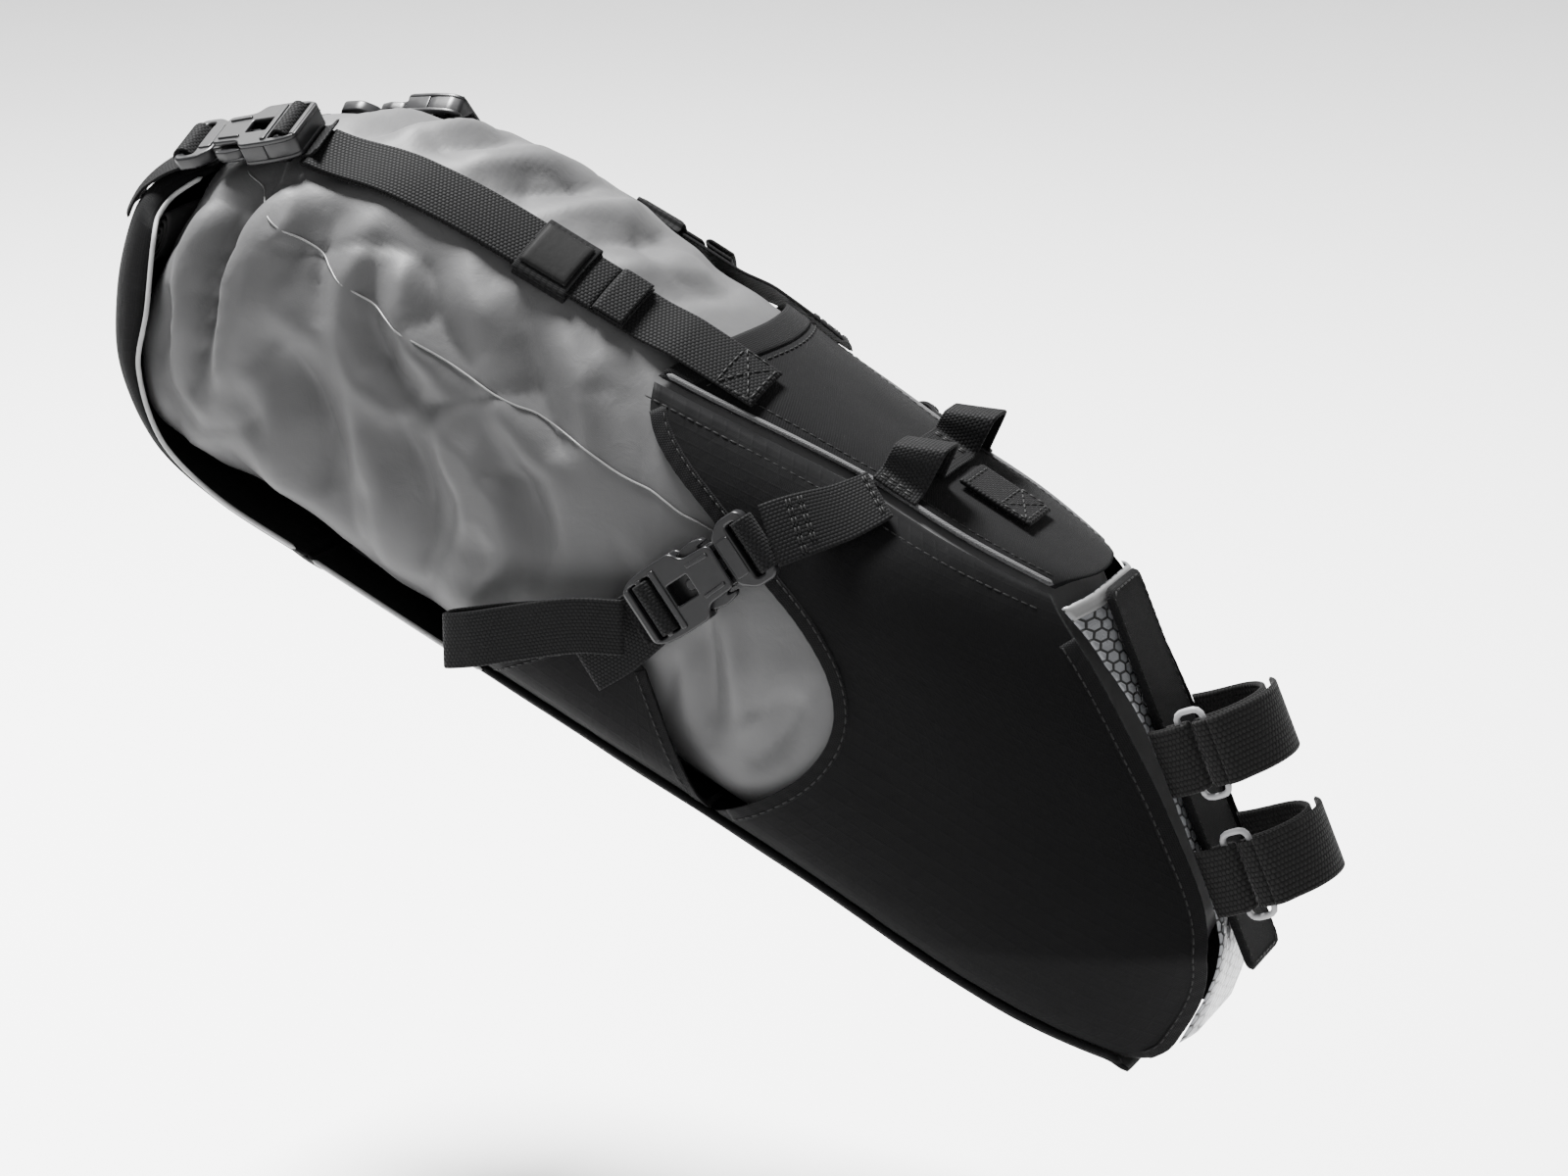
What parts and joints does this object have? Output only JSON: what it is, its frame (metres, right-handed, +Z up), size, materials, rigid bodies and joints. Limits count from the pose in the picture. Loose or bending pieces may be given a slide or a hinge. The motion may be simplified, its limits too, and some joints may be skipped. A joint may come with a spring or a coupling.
{
  "type": "bicycle saddle bag",
  "caption": "Long rear luggage bag that straps to a bicycle seatpost and saddle rails, with a removable roll-top dry sack, tail flap and compression straps",
  "frame": {"origin": "centre of the nose pad's face where the seatpost bears on it", "axes": "+X forwards along the bicycle, +Y to the rider's left, +Z up, with the bag in its mounted attitude, its tail raised 25 degrees"},
  "size_m": [0.4729, 0.1698, 0.3188],
  "materials": {
    "coated_fabric": "mid-grey coated nylon, matte, welded seam",
    "nylon": "black coated pack nylon, fine plain weave",
    "canvas": "black coarse twill",
    "webbing": "black ribbed polyamide webbing",
    "buckle_plastic": "black moulded acetal, satin gloss",
    "ripstop": "silver-grey glossy laminate with a dark hexagon mesh",
    "piping": "light grey reflective piping",
    "board": "black polyethylene sheet",
    "ring_plastic": "light grey moulded ring, satin"
  },
  "bodies": {
    "harness": {"dry_bag": "coated_fabric", "dry_bag_roll_top": "coated_fabric", "top_panel": "canvas", "bottom_panel": "nylon", "base_board": "board", "side_panel_right": "nylon", "side_panel_left": "nylon", "lower_wing_right": "nylon", "lower_wing_left": "nylon", "tray_piping_right": "piping", "tray_piping_left": "piping", "tail_buckle_female_right": "buckle_plastic", "tail_buckle_female_left": "buckle_plastic", "side_buckle_male_right": "buckle_plastic", "side_buckle_male_left": "buckle_plastic", "top_strap_right": "webbing", "top_strap_left": "webbing", "top_strap_tail_right": "webbing", "top_strap_tail_left": "webbing", "strap_tail_end_right": "webbing", "strap_tail_end_left": "webbing", "rail_strap": "webbing", "centre_tab": "webbing", "shoulder_strap_right": "webbing", "shoulder_strap_left": "webbing", "lower_strap_right": "webbing", "lower_strap_left": "webbing", "nose_panel": "ripstop", "nose_pad": "canvas", "post_strap_loop_upper": "webbing", "post_strap_anchor_upper": "webbing", "post_strap_ring_upper": "ring_plastic", "post_strap_loop_lower": "webbing", "post_strap_anchor_lower": "webbing", "post_strap_ring_lower": "ring_plastic"},
    "tail_flap": {"tail_flap": "nylon", "light_loop_webbing": "webbing", "flap_piping_right": "piping", "flap_piping_left": "piping", "flap_tab_right": "webbing", "flap_tab_left": "webbing", "tail_buckle_male_right": "buckle_plastic", "tail_buckle_male_left": "buckle_plastic"},
    "side_buckle_right": {"side_buckle_female_right": "buckle_plastic", "side_strap_tail_right": "webbing"},
    "keeper_right": {"strap_keeper_right": "canvas"},
    "side_buckle_left": {"side_buckle_female_left": "buckle_plastic", "side_strap_tail_left": "webbing"},
    "keeper_left": {"strap_keeper_left": "canvas"},
    "post_strap_upper": {"post_strap_tail_upper": "webbing"},
    "post_strap_lower": {"post_strap_tail_lower": "webbing"}
  },
  "joints": [
    {"name": "tail_flap_hinge", "type": "hinge", "parent": "harness", "child": "tail_flap", "pos_m": [-0.33247, 0, 0.06787], "axis": [0, -1, 0], "range_deg": [0, 95]},
    {"name": "side_buckle_release_right", "type": "slide", "parent": "harness", "child": "side_buckle_right", "axis": [-0.7904, -0.139, -0.5967], "range_m": [0, 0.02]},
    {"name": "side_buckle_release_left", "type": "slide", "parent": "harness", "child": "side_buckle_left", "axis": [-0.7904, 0.139, -0.5967], "range_m": [0, 0.02]},
    {"name": "strap_keeper_slide_right", "type": "slide", "parent": "harness", "child": "keeper_right", "axis": [0.8988, 0.0541, -0.4351], "range_m": [-0.008, 0.008]},
    {"name": "strap_keeper_slide_left", "type": "slide", "parent": "harness", "child": "keeper_left", "axis": [0.9335, -0.1376, -0.3312], "range_m": [-0.008, 0.008]},
    {"name": "post_strap_upper_peel", "type": "hinge", "parent": "harness", "child": "post_strap_upper", "pos_m": [0.00376, -0.0195, 0.03599], "axis": [0.3987, 0, -0.9171], "range_deg": [0, 100]},
    {"name": "post_strap_lower_peel", "type": "hinge", "parent": "harness", "child": "post_strap_lower", "pos_m": [0.02191, -0.0195, -0.00574], "axis": [0.3987, 0, -0.9171], "range_deg": [0, 100]}
  ]
}
